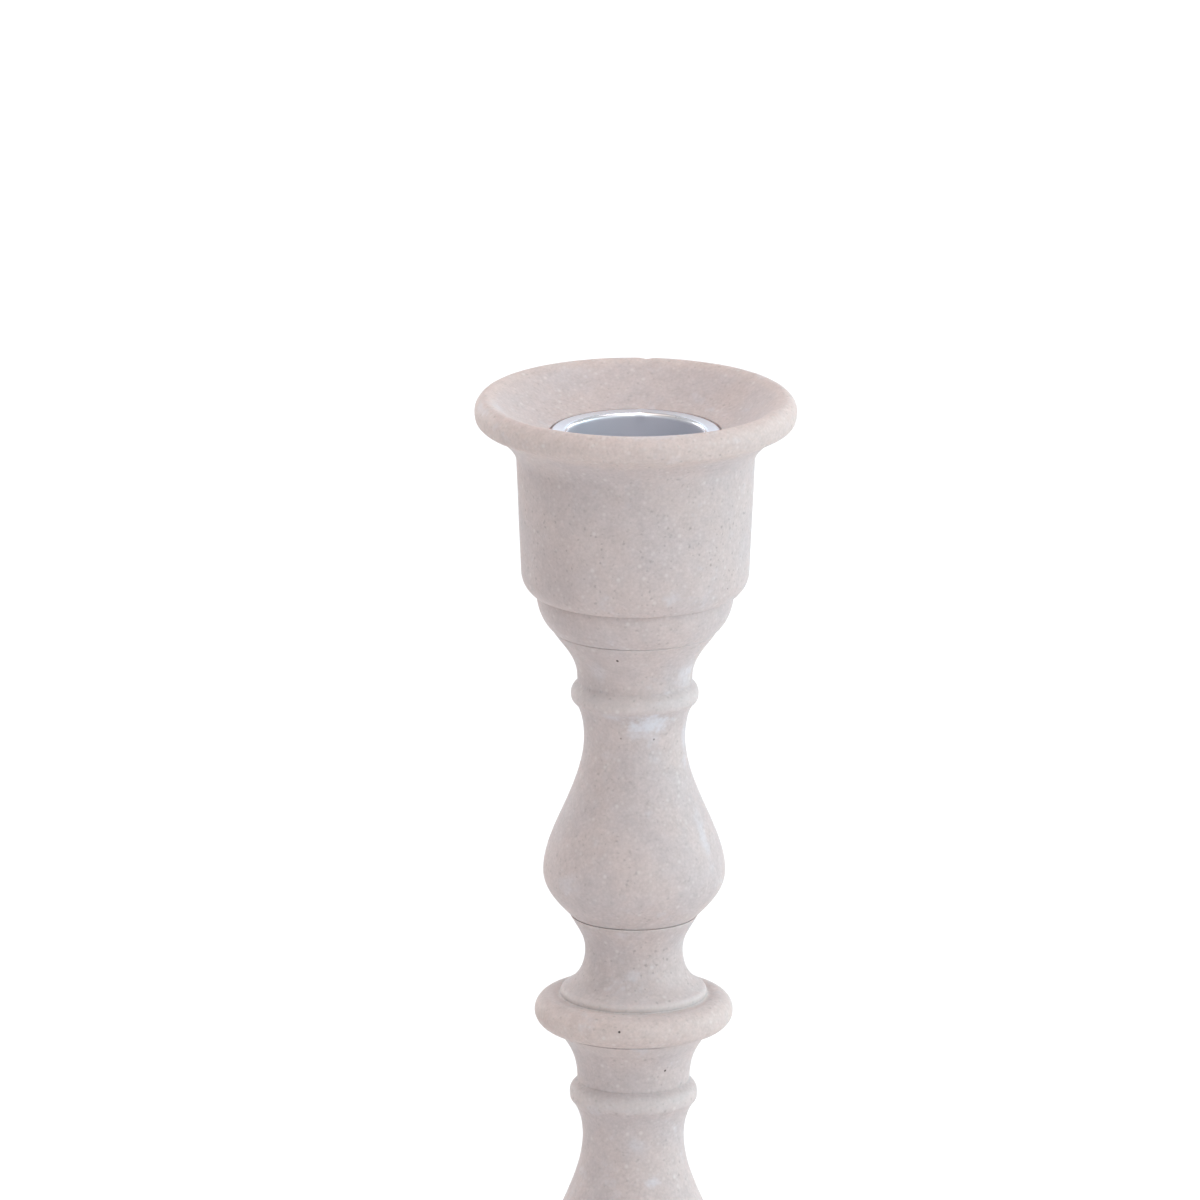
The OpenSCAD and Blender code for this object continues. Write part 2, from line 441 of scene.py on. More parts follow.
class Wire:
    """A value that runs between nodes. Arithmetic on it adds Math nodes."""

    def __init__(self, graph: "Graph", socket: bpy.types.NodeSocket) -> None:
        """Wraps one output socket of a graph."""
        self.graph = graph
        self.socket = socket

    def _with(self, operation: str, first: "Wire | float", second: "Wire | float") -> "Wire":
        """Adds a Math node on two values."""
        return self.graph.add("ShaderNodeMath", {"operation": operation}, {0: first, 1: second})

    def __add__(self, other: "Wire | float") -> "Wire":
        """Sum."""
        return self._with("ADD", self, other)

    __radd__ = __add__

    def __sub__(self, other: "Wire | float") -> "Wire":
        """Difference."""
        return self._with("SUBTRACT", self, other)

    def __rsub__(self, other: float) -> "Wire":
        """Difference from a number."""
        return self._with("SUBTRACT", other, self)

    def __mul__(self, other: "Wire | float") -> "Wire":
        """Product."""
        return self._with("MULTIPLY", self, other)

    __rmul__ = __mul__

    def __gt__(self, other: "Wire | float") -> "Wire":
        """1 where this is the greater, and 0 elsewhere."""
        return self._with("GREATER_THAN", self, other)

    def __lt__(self, other: "Wire | float") -> "Wire":
        """1 where this is the smaller, and 0 elsewhere."""
        return self._with("LESS_THAN", self, other)

    def root(self) -> "Wire":
        """Square root."""
        return self._with("SQRT", self, 0.0)

    def at_most(self, other: "Wire | float") -> "Wire":
        """The smaller of the two."""
        return self._with("MINIMUM", self, other)

    def at_least(self, other: "Wire | float") -> "Wire":
        """The larger of the two."""
        return self._with("MAXIMUM", self, other)


@dataclass(frozen=True)
class Grain:
    """One kind of grain in the stone.

    The spacing is that of the places where one may be, the radius is the largest, both are in
    millimetres, and the share is how many of those places hold one.
    """

    spacing: float
    radius: float
    share: float
    strength: float


class Graph:
    """The node tree of one material, whose textures lie by the position on the piece."""

    GRAIN_CORE = 0.2

    def __init__(self, name: str) -> None:
        """Makes the material with an empty tree, an output and the position in millimetres.

        Args:
            name: The material's name.
        """
        self.material = bpy.data.materials.new(name)
        self.material.use_nodes = True
        self.tree = self.material.node_tree
        self.tree.nodes.clear()
        self.output = self.tree.nodes.new("ShaderNodeOutputMaterial")
        spot = self.add("ShaderNodeTexCoord", output="Object")
        self.where = self._vector("SCALE", {0: spot, "Scale": 1 / MM})

    def add(
        self, kind: str, settings: dict[str, Any] | None = None, sockets: Sockets | None = None,
        output: str | int = 0,
    ) -> Wire:
        """Adds a node.

        Args:
            kind: The node's type.
            settings: Properties that are set first.
            sockets: Values or wires for its inputs, by name or place.
            output: The output to hand on.

        Returns:
            The chosen output.
        """
        node = self.tree.nodes.new(kind)
        for name, value in (settings or {}).items():
            setattr(node, name, value)
        for key, value in (sockets or {}).items():
            if isinstance(value, Wire):
                self.tree.links.new(value.socket, node.inputs[key])
            else:
                node.inputs[key].default_value = value
        return Wire(self, node.outputs[output])

    def _vector(self, operation: str, sockets: Sockets, output: str | int = 0) -> Wire:
        """Adds a Vector Math node."""
        return self.add("ShaderNodeVectorMath", {"operation": operation}, sockets, output)

    def along(self, direction: Triple) -> Wire:
        """How far the position lies in a direction."""
        return self._vector("DOT_PRODUCT", {0: self.where, 1: direction}, "Value")

    def _scaled(self, by: Triple) -> Wire:
        """The position stretched along the three axes."""
        return self._vector("MULTIPLY", {0: self.where, 1: by})

    def from_axis(self) -> Wire:
        """The distance from the axis, in millimetres."""
        return self._vector("LENGTH", {0: self._scaled((1.0, 1.0, 0.0))}, "Value")

    def _moved(self, where: Wire, shift: float) -> Wire:
        """A position moved off, so that two textures differ."""
        return self._vector("ADD", {0: where, 1: (shift * 17.3, shift * -11.9, shift * 7.7)})

    def cloud(
        self, size: float, detail: float, rough: float, shift: float, stretch: Triple | None = None
    ) -> Wire:
        """Soft noise about 0.5.

        Args:
            size: The width of its largest blotches, in millimetres.
            detail: How many finer layers it has.
            rough: How strong the finer layers are.
            shift: Which cloud this is.
            stretch: What the position is multiplied by, for a grain that runs one way.

        Returns:
            The noise's value.
        """
        where = self._moved(self._scaled(stretch) if stretch else self.where, shift)
        sockets = {"Vector": where, "Scale": 1 / size, "Detail": detail, "Roughness": rough}
        return self.add("ShaderNodeTexNoise", None, sockets, "Fac")

    def bump(self, height: Wire, strength: float, distance: float) -> Wire:
        """The normal of a surface with relief, at a strength and over a distance in millimetres."""
        sockets = {"Strength": strength, "Distance": distance * MM, "Height": height}
        return self.add("ShaderNodeBump", None, sockets, "Normal")

    def step(self, value: Wire, low: float, high: float) -> Wire:
        """A smooth step.

        Args:
            value: What is stepped.
            low: Where the step is 0.
            high: Where it is 1, which may be below low.

        Returns:
            The step.
        """
        sockets: Sockets = {"Value": value, "From Min": low, "From Max": high}
        if low > high:
            sockets |= {"From Min": high, "From Max": low, "To Min": 1.0, "To Max": 0.0}
        return self.add("ShaderNodeMapRange", {"interpolation_type": "SMOOTHSTEP"}, sockets)

    def mix(
        self, share: Wire | float, first: Wire | Colour, second: Wire | Colour, blend: str = "MIX"
    ) -> Wire:
        """Blends two colours.

        Args:
            share: How much of the second shows.
            first: The colour under it.
            second: The colour over it.
            blend: The way they are blended.

        Returns:
            The blended colour.
        """
        settings = {"data_type": "RGBA", "blend_type": blend}
        return self.add("ShaderNodeMix", settings, {0: share, 6: first, 7: second}, 2)

    def specks(self, grain: Grain, wander: Wire, shift: float) -> Wire:
        """Irregular grains scattered through the material, cut by its surface.

        Args:
            grain: The kind of grain.
            wander: What is added to the distance from a grain's centre, in millimetres.
            shift: Which scatter this is.

        Returns:
            A mask that is as strong as the grain inside one, and 0 outside.
        """
        cell = grain.spacing
        sockets = {"Vector": self._moved(self.where, shift), "Scale": 1 / cell}
        away = self.add("ShaderNodeTexVoronoi", None, sockets, "Distance")
        colour = Wire(self, away.socket.node.outputs["Color"])
        lot = self.add("ShaderNodeSeparateColor", None, {"Color": colour}, "Red")
        full = self.GRAIN_CORE * grain.radius / cell
        inside = self.step(away + wander * (1 / cell), grain.radius / cell, full)
        return grain.strength * (inside * (lot < grain.share))

    def finish(self, sockets: Sockets) -> bpy.types.Material:
        """Ends the tree in a Principled shader.

        Args:
            sockets: Its values and wires.

        Returns:
            The material.
        """
        shader = self.add("ShaderNodeBsdfPrincipled", None, sockets)
        self.tree.links.new(shader.socket, self.output.inputs["Surface"])
        return self.material


# ---- finishes


class Finish(ABC):
    """A surface that can be given to pieces."""

    @abstractmethod
    def make(self) -> bpy.types.Material:
        """Builds the material."""


@dataclass(frozen=True)
class Mark:
    """A patch on the stand's outside, in millimetres and in degrees from the front.

    Its core is the share of its size that is at full strength.
    """

    height: float
    azimuth: float
    wide: float
    tall: float
    strength: float = 1.0
    core: float = 0.1

    def mask(self, graph: Graph, wander: Wire) -> Wire:
        """Draws the patch.

        Args:
            graph: The material's tree.
            wander: What is added to the distance from the centre, which makes the edge ragged.

        Returns:
            A mask that is as strong as the patch inside it, and 0 outside.
        """
        turn = math.radians(self.azimuth)
        across = graph.along((math.cos(turn) / self.wide, math.sin(turn) / self.wide, 0.0))
        up = graph.along((0.0, 0.0, 1 / self.tall)) - self.height / self.tall
        facing = graph.along((math.sin(turn), -math.cos(turn), 0.0)) > 0.0
        away = (across * across + up * up).root() + wander
        return graph.step(away, 1.0, self.core) * facing * self.strength


@dataclass(frozen=True)
class Zone:
    """A level round the stand, how far it reaches up and down, and the radii it lies between."""

    INNER_FADE = 0.75
    OUTER_FADE = 0.3

    height: float
    reach: float
    inner: float = 0.0
    outer: float = 99.0
    strength: float = 1.0

    def mask(self, graph: Graph) -> Wire:
        """Draws the zone.

        Args:
            graph: The material's tree.

        Returns:
            A mask that is as strong as the zone at its level and fades to 0 at its reach.
        """
        up = graph.along((0.0, 0.0, 1 / self.reach)) - self.height / self.reach
        radius = graph.from_axis()
        past = graph.step(radius, self.inner - self.INNER_FADE, self.inner + self.INNER_FADE)
        short = graph.step(radius, self.outer + self.OUTER_FADE, self.outer)
        return graph.step(up * up, 1.0, 0.0) * (past * short) * self.strength


@dataclass(frozen=True)
class CastStone(Finish):
    """Rubbed cast stone: pale pinkish beige, with white and grey grains, pinholes, chalky patches,
    and painted light, shade and highlights.
    """

    warm: Colour = (0.494, 0.422, 0.409, 1.0)
    cool: Colour = (0.470, 0.411, 0.407, 1.0)
    handled: Colour = (0.530, 0.447, 0.420, 1.0)
    # white is the colour of the white grains and also of the painted light
    white: Colour = (0.66, 0.62, 0.60, 1.0)
    grey: Colour = (0.235, 0.215, 0.20, 1.0)
    # hollow is the colour of the pinholes and also of the painted crease shade
    hollow: Colour = (0.07, 0.05, 0.045, 1.0)
    # chalk_and_highlight is the colour of the chalky bloom and also of the painted crest highlight
    chalk_and_highlight: Colour = (0.58, 0.575, 0.615, 1.0)
    # brown is the colour of the painted shade on the left side
    brown: Colour = (0.30, 0.22, 0.20, 1.0)
    white_grains: tuple[Grain, ...] = (Grain(1.15, 0.40, 0.60, 0.26), Grain(2.0, 0.52, 0.40, 0.42))
    grey_grains: tuple[Grain, ...] = (Grain(0.95, 0.28, 0.50, 0.36), Grain(1.7, 0.38, 0.55, 0.46))
    pinholes: Grain = Grain(6.0, 0.20, 0.15, 0.8)
    # Chalky bloom, and a painted highlight along the lip's crest
    blooms_and_highlights: tuple[Mark, ...] = ()
    pits: tuple[Mark, ...] = ()
    # Painted shade: brown patches that darken the left side
    left_shade_marks: tuple[Mark, ...] = ()
    handled_zones: tuple[Zone, ...] = ()
    speckled_zones: tuple[Zone, ...] = ()
    # Painted light: zones lightened towards white where beads, joints and spool feet lie in shade
    painted_light_zones: tuple[Zone, ...] = ()
    # Painted shade: zones darkened as shade in a crease
    crease_shade_zones: tuple[Zone, ...] = ()

    def make(self) -> bpy.types.Material:
        """Builds the material.

        Returns:
            The stone.
        """
        graph = Graph("cast_stone")
        drift = graph.cloud(9.0, 2.0, 0.5, 1.0)
        mottle = graph.cloud(2.0, 3.0, 0.65, 2.0)
        grit = graph.cloud(0.5, 2.0, 0.6, 3.0)
        ragged = graph.cloud(1.8, 4.0, 0.7, 4.0)
        turned = graph.cloud(0.7, 2.0, 0.6, 6.0, (0.06, 0.06, 1.0))
        wander = 0.5 * (grit - 0.5)
        speckled = self._all(graph, self.speckled_zones)
        busy = 0.45 + 0.35 * graph.step(drift, 0.42, 0.6) + 0.5 * speckled
        dark = self._scatter(graph, wander, self.grey_grains, 10.0)
        pale = self._scatter(graph, wander, self.white_grains, 20.0)
        handled = self._all(graph, self.handled_zones) * (0.35 + 0.8 * ragged)
        # Painted shade in the crease under the disc, strongest on the left and fading out to the
        # right
        left_side_weight = graph.step(graph.along((1.0, 0.0, 0.0)), 7.5, 1.5)
        crease_shade = self._all(graph, self.crease_shade_zones) * (0.4 + ragged) * left_side_weight
        chalk_and_highlight = graph.step(graph.cloud(6.0, 4.0, 0.65, 5.0), 0.58, 0.75) * 0.4
        # Chalky bloom marks; those on the lip's crest are a painted highlight
        for pale_mark in self.blooms_and_highlights:
            patch = pale_mark.mask(graph, 1.8 * (ragged - 0.5))
            chalk_and_highlight = chalk_and_highlight.at_least(patch * (0.5 + 0.9 * (grit - 0.1)))
        pits = self._scatter(graph, 0.4 * wander, (self.pinholes,), 30.0)
        for pit in self.pits:
            pits = pits.at_least(pit.mask(graph, 0.25 * (mottle - 0.5)))
        shade = 1 + 0.30 * (mottle - 0.5) + 0.34 * (grit - 0.5)
        tones = dict.fromkeys(("Red", "Green", "Blue"), shade)
        tone = graph.add("ShaderNodeCombineColor", None, tones)
        colour = graph.mix(graph.step(drift, 0.35, 0.65), self.cool, self.warm)
        colour = graph.mix(handled, colour, self.handled)
        colour = graph.mix(1.0, colour, tone, "MULTIPLY")
        colour = graph.mix((dark * busy).at_most(1.0), colour, self.grey)
        colour = graph.mix(pale, colour, self.white)
        # Painted light: white lightening where beads, joint lines and spool feet lie in shade
        colour = graph.mix(self._all(graph, self.painted_light_zones), colour, self.white)
        # Painted shade: a dark line in the crease under the disc, in the pinholes' colour
        colour = graph.mix(crease_shade, colour, self.hollow)
        # Painted shade: brown darkening on the left of the cup, its seat and the disc
        for left_shade_mark in self.left_shade_marks:
            colour = graph.mix(left_shade_mark.mask(graph, 0.8 * (drift - 0.5)), colour, self.brown)
        # Chalky bloom, with a painted highlight along the lip's crest
        colour = graph.mix(chalk_and_highlight.at_most(0.9), colour, self.chalk_and_highlight)
        height = 0.6 * mottle + 0.4 * grit + 0.25 * pale + 0.5 * turned - 1.6 * pits
        return graph.finish({
            "Base Color": graph.mix(pits, colour, self.hollow),
            "Roughness": 0.58 + 0.2 * (mottle - 0.5) + 0.12 * chalk_and_highlight,
            "Normal": graph.bump(height, 0.4, 0.06),
            "Specular IOR Level": 0.4,
            "Subsurface Weight": 0.35,
            "Subsurface Radius": (1.0, 0.62, 0.5),
            "Subsurface Scale": 1.6 * MM,
        })

    @staticmethod
    def _scatter(graph: Graph, wander: Wire, grains: tuple[Grain, ...], shift: float) -> Wire:
        """All grains of one colour.

        Args:
            graph: The material's tree.
            wander: What makes their edges ragged, in millimetres.
            grains: The kinds of grain.
            shift: Which scatter the first of them is.

        Returns:
            How strongly they show.
        """
        total, *others = [graph.specks(g, wander, shift + i) for i, g in enumerate(grains)]
        for mask in others:
            total = total.at_least(mask)
        return total

    @staticmethod
    def _all(graph: Graph, zones: tuple[Zone, ...]) -> Wire | float:
        """The mask of several zones together."""
        return sum((zone.mask(graph) for zone in zones), 0.0)


@dataclass(frozen=True)
class SpunAluminium(Finish):
    """Thin sheet, pressed and trimmed on a lathe: matt walls, a bright mouth with painted shade on
    its right, and a satin flange.

    Top is the flange's height, well_r the radius that the well lies in, and flange_r where the
    flat flange starts, in millimetres.
    """

    top: float
    bright: Colour = (0.90, 0.92, 0.98, 1.0)
    dull: Colour = (0.80, 0.82, 0.90, 1.0)
    drawn: Colour = (0.73, 0.74, 0.79, 1.0)
    # bend_shade is the colour of the painted shade on the right of the mouth's bend
    bend_shade: Colour = (0.50, 0.47, 0.45, 1.0)
    well_r: float = 11.45
    flange_r: float = 12.1

    def make(self) -> bpy.types.Material:
        """Builds the material.

        Returns:
            The sheet metal.
        """
        graph = Graph("spun_aluminium")
        radius = graph.from_axis()
        inside = graph.step(radius, self.well_r, self.well_r - 0.12)
        below = graph.step(graph.along((0.0, 0.0, 1.0)), self.top - 1.1, self.top - 1.5)
        walls = inside.at_least(below)
        flange = graph.step(radius, self.flange_r - 0.2, self.flange_r)
        lines = graph.cloud(1.0, 3.0, 0.6, 20.0, (0.25, 0.25, 4.0))
        smear = graph.cloud(3.5, 3.0, 0.6, 21.0)
        scratch = graph.cloud(0.35, 2.0, 0.7, 22.0)
        skin = graph.mix(graph.step(smear, 0.4, 0.75) * 0.6, self.bright, self.dull)
        side = graph.along((1.0, 0.0, 0.0))
        # Painted shade: darkens the mouth's bend right of centre and makes it rougher, which dims
        # its reflection there and leaves the highlight to the left
        bend_shade_mask = graph.step(side, 0.2, 1.8) * graph.step(side, 9.0, 4.5) * (1 - walls) * (1 - flange)
        skin = graph.mix(0.75 * bend_shade_mask, skin, self.bend_shade)
        return graph.finish({
            "Base Color": graph.mix(walls, skin, self.drawn),
            "Metallic": 1.0,
            "Roughness": 0.2 + 0.35 * walls + 0.16 * flange + 0.12 * bend_shade_mask + 0.12 * (smear - 0.5),
            "Normal": graph.bump(0.6 * lines + 0.4 * scratch + 0.4 * smear, 0.25, 0.02),
        })


@dataclass(frozen=True)
class ZincSteel(Finish):
    """Zinc-plated steel of the rod, nuts and washers."""

    bright: Colour = (0.62, 0.63, 0.64, 1.0)
    dull: Colour = (0.40, 0.41, 0.43, 1.0)

    def make(self) -> bpy.types.Material:
        """Builds the material.

        Returns:
            The plated steel.
        """
        graph = Graph("zinc_steel")
        spangle = graph.cloud(1.4, 3.0, 0.6, 31.0)
        grain = graph.cloud(0.2, 2.0, 0.6, 32.0)
        return graph.finish({
            "Base Color": graph.mix(graph.step(spangle, 0.35, 0.7), self.bright, self.dull),
            "Metallic": 1.0,
            "Roughness": 0.32 + 0.25 * (spangle - 0.3),
            "Normal": graph.bump(grain + spangle, 0.3, 0.02),
        })


@dataclass(frozen=True)
class WoolFelt(Finish):
    """Pressed grey-brown felt."""

    dark: Colour = (0.085, 0.075, 0.07, 1.0)
    light: Colour = (0.22, 0.20, 0.185, 1.0)

    def make(self) -> bpy.types.Material:
        """Builds the material.

        Returns:
            The felt.
        """
        graph = Graph("wool_felt")
        fibre = graph.cloud(0.35, 5.0, 0.75, 41.0, (1.0, 0.35, 1.0))
        tuft = graph.cloud(2.5, 3.0, 0.6, 42.0)
        lit = graph.step(0.7 * fibre + 0.3 * tuft, 0.3, 0.7)
        return graph.finish({
            "Base Color": graph.mix(lit, self.dark, self.light),
            "Roughness": 0.9 + 0.08 * (fibre - 0.5),
            "Normal": graph.bump(fibre + 0.5 * tuft, 0.8, 0.25),
            "Sheen Weight": 0.4,
            "Sheen Roughness": 0.5,
        })


@dataclass(frozen=True)
class StudioPaper(Finish):
    """The pale sweep that the candlestick stands on."""

    colour: Colour = (0.90, 0.90, 0.905, 1.0)

    def make(self) -> bpy.types.Material:
        """Builds the material.

        Returns:
            The paper.
        """
        graph = Graph("studio_paper")
        tooth = graph.cloud(4.0, 2.0, 0.5, 51.0)
        return graph.finish({"Base Color": self.colour, "Roughness": 0.85 + 0.05 * tooth})


# ---- pieces


@dataclass
class Piece(ABC):
    """A turned piece that stands for one CAD node."""

    node: str
    finish: bpy.types.Material
    slot: Slot = Slot.STONE
    body: Body = Body.STAND
    bore: float = 3.3
    lathe: Lathe = field(default_factory=Lathe)
    relief: Relief = field(default_factory=Relief)

    @property
    def span(self) -> Span:
        """The node's place in the frame."""
        return Span.of(self.node)

    @abstractmethod
    def outline(self) -> Outline:
        """The piece's closed outline, in millimetres above its base."""

    def build(self) -> None:
        """Turns the outline, dresses the piece and joins it to the frame."""
        piece = self.lathe.turn(self.node + "_turned", self.outline(), self.span.base, self.relief)
        piece.data.materials.append(self.finish)
        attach(piece, self.body.value)
        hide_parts(self.node)
        size = tuple(round(d / MM, 1) for d in piece.dimensions)
        log.info("%s: %d faces, %s mm", piece.name, len(piece.data.polygons), size)


@dataclass
class CandleCup(Piece):
    """Cup with a rolled lip, a dished top and a stepped hollow for the metal insert."""

    crest_r: float = 24.85
    side_top_r: float = 19.7
    side_bottom_r: float = 18.9
    edge_r: float = 17.15
    hollow_r: float = 12.1
    recess_r: float = 14.35
    widest_drop: float = 2.25
    lip_drop: float = 4.75
    side_drop: float = 10.75
    dish_drop: float = 5.85
    seat_drop: float = 6.4
    side_low: float = 3.6
    floor: float = 3.2
    ease: float = 0.16

    def outline(self) -> Outline:
        """Up the hollow, over the lip and down the outside.

        Returns:
            The outline.
        """
        top, roll = self.span.height, self.span.radius - self.crest_r
        dish = (self.recess_r, top - self.dish_drop)
        crest = (self.crest_r, top)
        widest = (self.span.radius, top - self.widest_drop)
        lip_edge = (self.crest_r, top - self.lip_drop)
        side_top = (self.side_top_r, top - self.side_drop)
        side_bottom = (self.side_bottom_r, self.side_low)
        edge = (self.edge_r, 0.0)
        path = Outline((self.bore, self.floor))
        path.line((self.hollow_r, self.floor), (self.hollow_r, top - self.seat_drop))
        path.line((self.recess_r, top - self.seat_drop), dish)
        path.curve((4.2, 0.9), (-2.2, -0.15), crest)
        path.curve((0.42 * roll, 0.0), (0.0, 0.95), widest)
        path.curve((0.0, -1.75), (0.7 * roll, 0.0), lip_edge)
        path.curve((-2.35, -1.6), (0.0, 2.2), side_top)
        path.run(side_bottom)
        path.curve((-0.05, -1.65), (1.0, 0.85), edge)
        path.line((self.bore, 0.0))
        return path.ease(edge, self.ease).ease(dish, self.ease)


@dataclass
class CupSeat(Piece):
    """Quarter round that carries the cup."""

    top_r: float = 16.4
    edge_r: float = 13.65
    ease: float = 0.14

    def outline(self) -> Outline:
        """Out across the top and down the quarter round.

        Returns:
            The outline.
        """
        top, edge = (self.top_r, self.span.height), (self.edge_r, 0.0)
        path = Outline((self.bore, self.span.height)).line(top)
        path.curve((-0.05, -2.75), (1.55, 1.35), edge).line((self.bore, 0.0))
        return path.ease(top, self.ease).ease(edge, self.ease)


@dataclass
class Baluster(Piece):
    """Fillet, cove, bead, neck and vase in one turned section.

    Leave is the angle in degrees at which the cove starts under the fillet, and drop holds the
    lengths of its two handles.
    """

    top_r: float = 13.6
    fillet: float = 0.15
    leave: float = 56.5
    drop: Point = (2.65, 3.4)
    cove: Point = (9.55, 40.95)
    under_bead_r: float = 9.65
    bead: Point = (10.6, 38.05)
    bead_rise: float = 1.9
    bead_fall: float = 1.85
    neck: Point = (8.4, 30.5)
    belly_z: float = 7.6
    edge_r: float = 10.35
    ease: float = 0.14
    edge_ease: float = 0.03

    def outline(self) -> Outline:
        """Down the moulding from its top.

        Returns:
            The outline.
        """
        top = (self.top_r, self.span.height)
        shoulder = (self.top_r, self.span.height - self.fillet)
        bead_top = (self.cove[0] + 0.05, self.bead[1] + self.bead_rise)
        bead_foot = (self.under_bead_r, self.bead[1] - self.bead_fall)
        edge = (self.edge_r, 0.0)
        lean = toward(49, 0.85)
        drop = toward(180 + self.leave, self.drop[0])
        path = Outline((self.bore, self.span.height)).line(top).run(shoulder)
        path.curve(drop, (0.0, self.drop[1]), self.cove)
        path.curve((0.0, -0.5), (-0.2, 0.25), bead_top)
        path.curve((0.3, -0.35), (0.0, 1.05), self.bead)
        path.curve((0.0, -1.15), lean, bead_foot)
        path.curve((-lean[0], -lean[1]), (0.0, 2.95), self.neck)
        path.curve((0.0, -8.5), (0.0, 6.8), (self.span.radius, self.belly_z))
        path.curve((0.0, -3.35), toward(44.5, 2.3), edge)
        path.line((self.bore, 0.0))
        return path.ease(top, self.ease).ease(edge, self.edge_ease)


@dataclass
class Spool(Piece):
    """Waisted spool with a round-edged foot, which draws in a little under its widest circle."""

    top_r: float = 10.6
    waist: Point = (8.1, 8.4)
    foot_r: float = 11.0
    foot_round: float = 1.15
    foot_draw: float = 0.22
    round_from: float = 60.0
    ease: float = 0.03

    @property
    def wall_r(self) -> float:
        """The radius of the foot's lower edge."""
        return self.foot_r + self.foot_round - self.foot_draw

    def outline(self) -> Outline:
        """Down the waist and round the foot.

        Returns:
            The outline.
        """
        top = (self.top_r, self.span.height)
        centre = (self.foot_r, self.foot_round)
        flare = shifted(centre, toward(self.round_from, self.foot_round))
        path = Outline((self.bore, self.span.height), 0.35).line(top)
        path.curve(toward(241, 2.6), (0.0, 2.5), self.waist)
        path.curve((0.0, -3.3), toward(154, 2.05), flare)
        path.arc(centre, self.foot_round, self.round_from, 0)
        path.curve((0.0, -0.55), (0.08, 0.3), (self.wall_r, 0.0))
        path.line((self.bore, 0.0))
        return path.ease(top, self.ease)


@dataclass
class SeatedPiece(Piece):
    """A piece with a round edge that stands a little above the seat inside it, for a spool.

    The seat lies below the edge's top by the sink, and mortar is pointed round the spool's foot,
    from its height there to an angle in degrees on the round.
    """

    spool: Spool = field(kw_only=True)
    sink: float = 0.75
    mortar: float = 0.8
    mortar_to: float = 108.0

    def rim(self, outer_r: float, thick: float, pitch: float) -> Outline:
        """Starts the outline: out across the seat, up the mortar and round the edge.

        Args:
            outer_r: The round's outer radius.
            thick: The round's thickness.
            pitch: The spacing of the outline's points.

        Returns:
            The outline so far.
        """
        seat, r, wall_r = self.span.height - self.sink, thick / 2, self.spool.wall_r
        centre = (outer_r - r, self.span.height - r)
        shoulder = shifted(centre, toward(self.mortar_to, r))
        path = Outline((self.bore, seat), pitch)
        path.line((wall_r - 0.1, seat), (wall_r + 0.14, seat + self.mortar))
        path.curve((0.18, -0.1), (-0.25, -0.08), shoulder)
        return path.arc(centre, r, self.mortar_to, -90)


@dataclass
class Knop(SeatedPiece):
    """Thick round-edged disc that parts the two balusters."""

    def outline(self) -> Outline:
        """Out across the seat and round the edge.

        Returns:
            The outline.
        """
        return self.rim(self.span.radius, self.span.height, 0.35).line((self.bore, 0.0))


@dataclass
class Foot(SeatedPiece):
    """Collar, ogee and round-edged plinth, hollowed for the nut.

    The swell and the shoulder are measured in from the foot's edge and up from the plinth's top.
    """

    collar_r: float = 16.45
    collar_t: float = 5.5
    neck_r: float = 12.9
    neck_t: float = 1.2
    swell: Point = (14.5, 4.4)
    shoulder: Point = (5.2, 0.8)
    step_in: float = 4.0
    plinth: float = 7.4
    sole_in: float = 2.0
    pocket: Point = (10.0, 9.0)
    ease: float = 0.2

    def outline(self) -> Outline:
        """Down the collar and the ogee, round the plinth and up into the pocket.

        Returns:
            The outline.
        """
        collar_foot = self.span.height - self.collar_t
        neck = (self.neck_r, collar_foot - self.neck_t)
        swell = (self.span.radius - self.swell[0], self.plinth + self.swell[1])
        shoulder = (self.span.radius - self.shoulder[0], self.plinth + self.shoulder[1])
        quirk = (shoulder[0], self.plinth)
        step = (self.span.radius - self.step_in, self.plinth)
        widest = (self.span.radius, self.plinth * 0.55)
        sole = (self.span.radius - self.sole_in, 0.0)
        path = self.rim(self.collar_r, self.collar_t, 0.5)
        path.line((neck[0], collar_foot)).run(neck)
        path.curve((0.0, -6.2), (-5.2, 1.0), swell)
        path.curve((5.2, -1.0), (0.0, 2.6), shoulder)
        path.run(quirk).run(step)
        path.curve((2.2, 0.0), (0.0, 1.8), widest)
        path.curve((0.0, -2.2), (0.9, 0.6), sole)
        path.line((self.pocket[0], 0.0), self.pocket, (self.bore, self.pocket[1]))
        return path.ease(step, self.ease).ease(sole, self.ease)


@dataclass
class CandleInsert(Piece):
    """Pressed metal liner: floor, wall, rolled mouth and flat flange."""

    sheet: float = 0.5
    wall_r: float = 11.8
    mouth: float = 0.7
    floor_bend: float = 0.8

    def outline(self) -> Outline:
        """Up the outside, round the flange and down the inside.

        Returns:
            The outline.
        """
        edge, under = self.sheet / 2, self.span.height - self.sheet
        inner, heel = self.wall_r - self.sheet, self.floor_bend + self.sheet
        back, rim_r = self.mouth - self.sheet, self.span.radius - edge
        path = Outline((0.0, 0.0), 0.12)
        path.line((self.wall_r - heel, 0.0)).arc((self.wall_r - heel, heel), heel, -90, 0)
        path.line((self.wall_r, under - back))
        path.arc((self.wall_r + back, under - back), back, 180, 90)
        path.line((rim_r, under)).arc((rim_r, under + edge), edge, -90, 90)
        path.run((inner + self.mouth, self.span.height))
        path.arc((inner + self.mouth, self.span.height - self.mouth), self.mouth, 90, 180)
        path.pitch = 0.5
        path.run((inner, heel))
        path.arc((inner - self.floor_bend, heel), self.floor_bend, 0, -90)
        return path.line((0.0, self.sheet))


